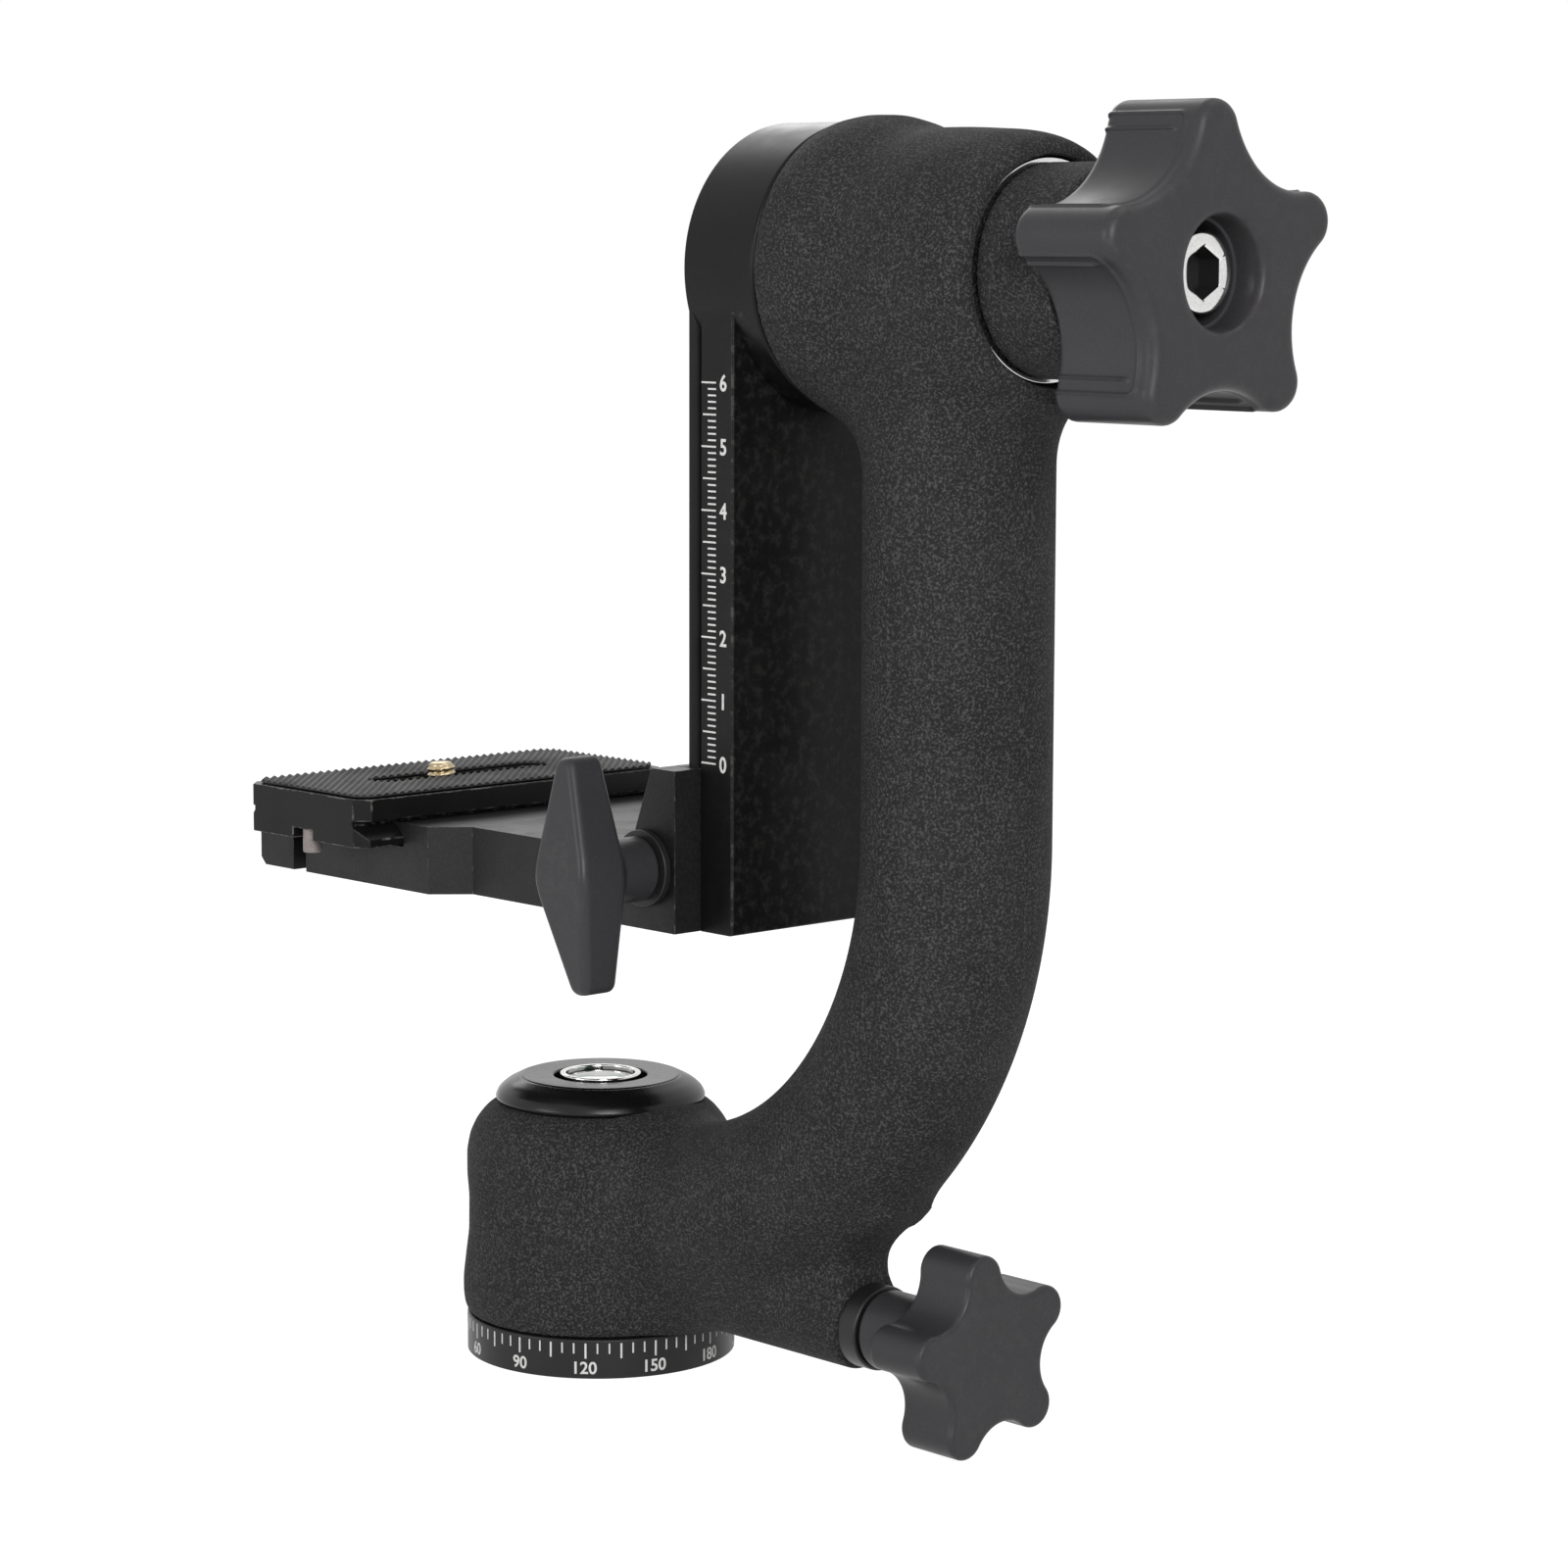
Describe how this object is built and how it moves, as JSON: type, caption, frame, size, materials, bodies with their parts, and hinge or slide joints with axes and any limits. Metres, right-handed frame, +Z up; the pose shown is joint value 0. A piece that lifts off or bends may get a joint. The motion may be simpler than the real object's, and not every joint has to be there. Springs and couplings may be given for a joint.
{
  "type": "gimbal head",
  "caption": "Side-mount gimbal tripod head: round panning base, curved arm with tilt housing and large lobed knob, swing rail with sliding lens platform, plate clamp and quick release plate.",
  "frame": {"origin": "centre of the underside of the round panning base, on the tripod thread's axis", "axes": "+Z up along the panning axis; +X toward the upright of the curved arm and along the tilt shaft; Y along the lens, with the wing knob on the -Y side"},
  "size_m": [0.2574, 0.0948, 0.2604],
  "materials": {
    "sand_coat": "dark grey sand-textured powder coat",
    "black_anodised": "black semi-gloss anodised",
    "black_casting": "black painted casting",
    "knob_plastic": "matte dark grey",
    "gloss_black": "gloss black",
    "steel": "turned",
    "chrome": "polished",
    "brass": "turned",
    "nylon": "natural",
    "rubber": "ribbed dark",
    "green_fluid": "clear green"
  },
  "bodies": {
    "base": {"pan_base": "black_anodised", "tripod_thread_insert": "brass", "pan_spindle": "steel", "spindle_washer": "steel", "spindle_nut": "steel", "base_screw_1": "steel", "base_screw_2": "steel", "base_screw_3": "steel"},
    "arm": {"main_arm": "sand_coat", "pan_lower_bearing": "steel", "pan_upper_bearing": "steel", "level_cap": "gloss_black", "level_bezel": "chrome", "level_vial": "green_fluid", "pan_lock_collar": "black_anodised", "tilt_left_bearing": "steel", "tilt_right_bearing": "steel", "tilt_friction_washer": "nylon", "tilt_end_ring": "chrome"},
    "pan_brake": {"pan_brake_shoe": "nylon"},
    "pan_lock": {"pan_lock_knob": "knob_plastic", "pan_lock_stud": "steel"},
    "swing": {"swing_arm": "black_anodised", "tilt_shaft": "steel", "swing_screw_1": "steel", "swing_screw_2": "steel", "swing_screw_3": "steel", "swing_screw_4": "steel", "tilt_knob_screw": "chrome"},
    "tilt_clamp": {"tilt_collar": "sand_coat"},
    "tilt_lock": {"tilt_lock_knob": "knob_plastic", "tilt_knob_bush": "brass"},
    "lens_platform": {"platform": "black_casting", "clamp_guide_pin_1": "steel", "clamp_guide_pin_2": "steel"},
    "height_jaw": {"rail_jaw": "black_casting"},
    "height_lock": {"height_lock_knob": "knob_plastic", "height_lock_stud": "steel", "height_washer": "steel"},
    "plate_jaw": {"clamp_jaw": "black_casting"},
    "plate_lock": {"clamp_knob": "black_anodised", "clamp_screw": "steel"},
    "lens_plate": {"qr_plate": "black_anodised", "plate_pad": "rubber", "plate_stop_pin": "steel"},
    "screw_carrier": {"camera_screw_washer": "steel"},
    "lens_screw": {"camera_screw": "brass"}
  },
  "joints": [
    {"name": "pan", "type": "hinge", "parent": "base", "child": "arm", "pos_m": [0, 0, 0], "axis": [0, 0, 1], "continuous": true},
    {"name": "pan_brake_release", "type": "slide", "parent": "arm", "child": "pan_brake", "axis": [1, 0, 0], "range_m": [0, 0.001]},
    {"name": "pan_lock_turn", "type": "hinge", "parent": "pan_brake", "child": "pan_lock", "pos_m": [0, 0, 0.0202], "axis": [1, 0, 0], "range_deg": [0, 360]},
    {"name": "tilt", "type": "hinge", "parent": "arm", "child": "swing", "pos_m": [0, 0, 0.2295], "axis": [1, 0, 0], "continuous": true},
    {"name": "tilt_clamp_release", "type": "slide", "parent": "swing", "child": "tilt_clamp", "axis": [1, 0, 0], "range_m": [0, 0.00125]},
    {"name": "tilt_lock_turn", "type": "hinge", "parent": "tilt_clamp", "child": "tilt_lock", "pos_m": [0, 0, 0.2295], "axis": [1, 0, 0], "range_deg": [0, 300]},
    {"name": "platform_height", "type": "slide", "parent": "swing", "child": "lens_platform", "axis": [0, 0, 1], "range_m": [0, 0.074]},
    {"name": "height_jaw_release", "type": "slide", "parent": "lens_platform", "child": "height_jaw", "axis": [0, -1, 0], "range_m": [0, 0.0015]},
    {"name": "height_lock_turn", "type": "hinge", "parent": "height_jaw", "child": "height_lock", "pos_m": [0.054, 0, 0.1126], "axis": [0, -1, 0], "range_deg": [0, 540]},
    {"name": "plate_jaw_open", "type": "slide", "parent": "lens_platform", "child": "plate_jaw", "axis": [-1, 0, 0], "range_m": [0, 0.003]},
    {"name": "plate_lock_turn", "type": "hinge", "parent": "plate_jaw", "child": "plate_lock", "pos_m": [0, 0, 0.1046], "axis": [-1, 0, 0], "range_deg": [0, 1080]},
    {"name": "plate_slide", "type": "slide", "parent": "lens_platform", "child": "lens_plate", "axis": [0, 1, 0], "range_m": [-0.03, 0.0058]},
    {"name": "camera_screw_slide", "type": "slide", "parent": "lens_plate", "child": "screw_carrier", "axis": [0, 1, 0], "range_m": [-0.0138, 0.0238]},
    {"name": "camera_screw_turn", "type": "hinge", "parent": "screw_carrier", "child": "lens_screw", "pos_m": [-0.0386, -0.012, 0.11], "axis": [0, 0, 1], "continuous": true}
  ],
  "couplings": [
    {"joint": "pan_lock_turn", "follows": "pan_brake_release", "rad_per_m": 6283.2},
    {"joint": "tilt_lock_turn", "follows": "tilt_clamp_release", "rad_per_m": 4188.8},
    {"joint": "height_lock_turn", "follows": "height_jaw_release", "rad_per_m": 6283.2},
    {"joint": "plate_lock_turn", "follows": "plate_jaw_open", "rad_per_m": 6283.2}
  ]
}
